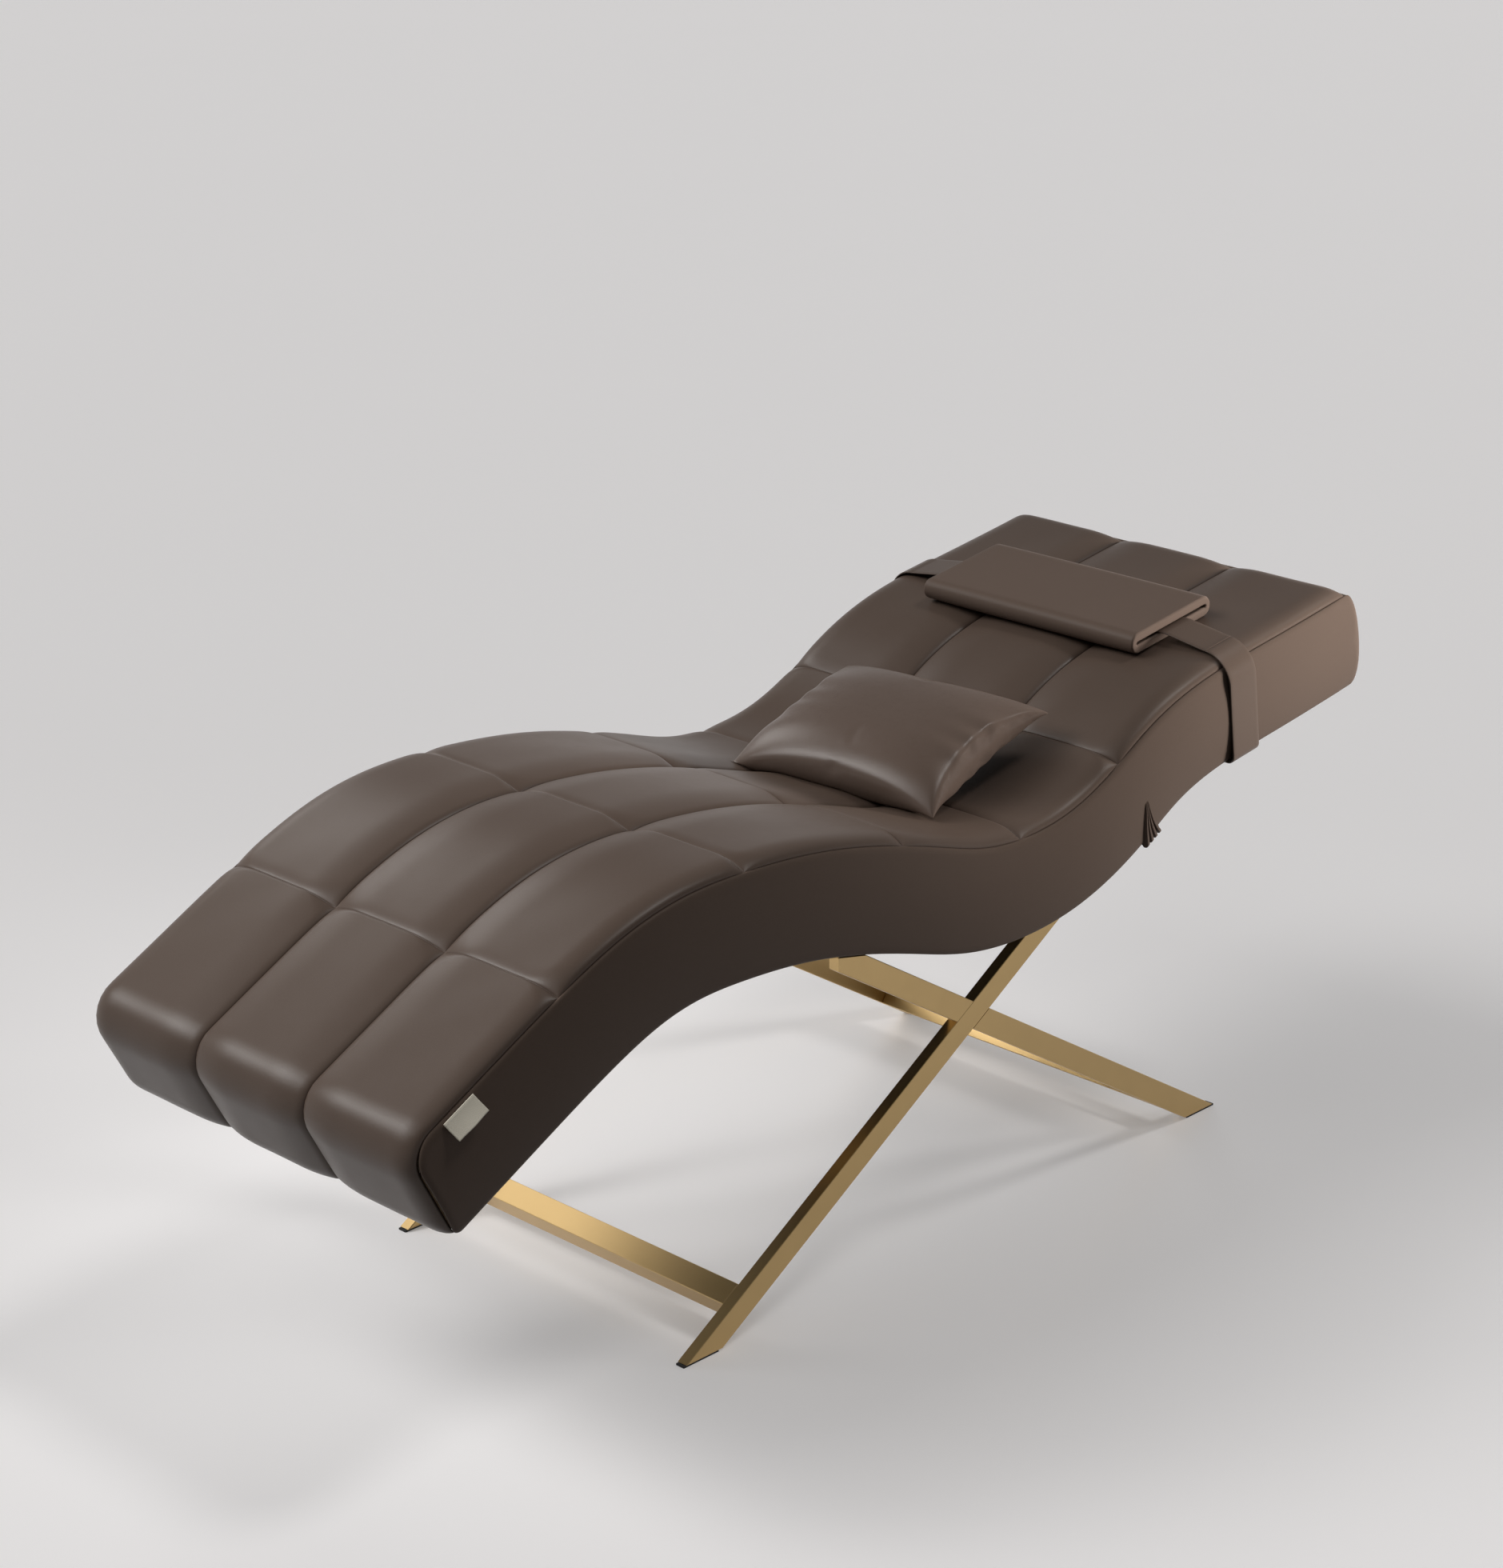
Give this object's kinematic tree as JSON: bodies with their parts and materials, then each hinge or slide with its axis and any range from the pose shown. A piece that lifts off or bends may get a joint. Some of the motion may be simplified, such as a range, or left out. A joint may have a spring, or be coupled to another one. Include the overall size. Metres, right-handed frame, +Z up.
{
  "type": "eyelash extension bed",
  "caption": "S-curved quilted treatment couch on a welded X frame, with a strapped head pad that slides along the back and a loose pillow.",
  "frame": {"origin": "on the floor, below the middle of the whole couch's bounding box", "axes": "+Z up, +Y towards the head end along the couch's length, +X towards the side that carries the cloth tag"},
  "size_m": [0.6708, 1.9173, 0.7968],
  "materials": {
    "taupe_leather": "semi-matte coated leather",
    "pad_leather": "semi-matte coated leather over foam",
    "pillow_leather": "soft semi-gloss coated leather",
    "satin_brass": "satin brass plating on steel tube",
    "zinc_steel": "zinc plated",
    "cream_foam": "open-cell upholstery foam",
    "birch_plywood": "bare birch plywood",
    "cover_cloth": "black non-woven cloth",
    "glide_rubber": "matte",
    "tag_cloth": "plain woven cotton tape"
  },
  "bodies": {
    "couch": {"quilted_cover": "taupe_leather", "side_panel_left": "taupe_leather", "side_panel_right": "taupe_leather", "head_end_panel": "taupe_leather", "pleats_left": "taupe_leather", "pleats_right": "taupe_leather", "side_tag": "tag_cloth", "foam_topper": "cream_foam", "foam_base": "cream_foam", "side_board_left": "birch_plywood", "side_board_right": "birch_plywood", "foot_board": "birch_plywood", "head_board": "birch_plywood", "deck_board": "birch_plywood", "cross_slat_1": "birch_plywood", "cross_slat_2": "birch_plywood", "cross_slat_3": "birch_plywood", "cross_slat_4": "birch_plywood", "front_mount_slat": "birch_plywood", "rear_mount_slat": "birch_plywood", "dust_cover": "cover_cloth", "front_leg_left": "satin_brass", "front_leg_right": "satin_brass", "rear_leg_left": "satin_brass", "rear_leg_right": "satin_brass", "front_stretcher": "satin_brass", "rear_stretcher": "satin_brass", "front_cross_bar": "satin_brass", "rear_cross_bar": "satin_brass", "front_mount_plate_left": "zinc_steel", "front_mount_plate_right": "zinc_steel", "rear_mount_plate_left": "zinc_steel", "rear_mount_plate_right": "zinc_steel", "mount_bolt_1": "zinc_steel", "mount_bolt_2": "zinc_steel", "mount_bolt_3": "zinc_steel", "mount_bolt_4": "zinc_steel", "mount_bolt_5": "zinc_steel", "mount_bolt_6": "zinc_steel", "mount_bolt_7": "zinc_steel", "mount_bolt_8": "zinc_steel", "tee_nut_1": "zinc_steel", "tee_nut_2": "zinc_steel", "tee_nut_3": "zinc_steel", "tee_nut_4": "zinc_steel", "tee_nut_5": "zinc_steel", "tee_nut_6": "zinc_steel", "tee_nut_7": "zinc_steel", "tee_nut_8": "zinc_steel", "glide_front_left": "glide_rubber", "glide_front_right": "glide_rubber", "glide_rear_left": "glide_rubber", "glide_rear_right": "glide_rubber"},
    "headrest": {"head_pad": "pad_leather", "strap": "taupe_leather"},
    "pillow": {"pillow": "pillow_leather"}
  },
  "joints": [
    {"name": "headrest_slide", "type": "slide", "parent": "couch", "child": "headrest", "axis": [0, 0.99, 0.1411], "range_m": [0, 0.12]},
    {"name": "pillow_lift", "type": "slide", "parent": "couch", "child": "pillow", "axis": [0, 0, 1], "range_m": [0, 0.25]}
  ]
}
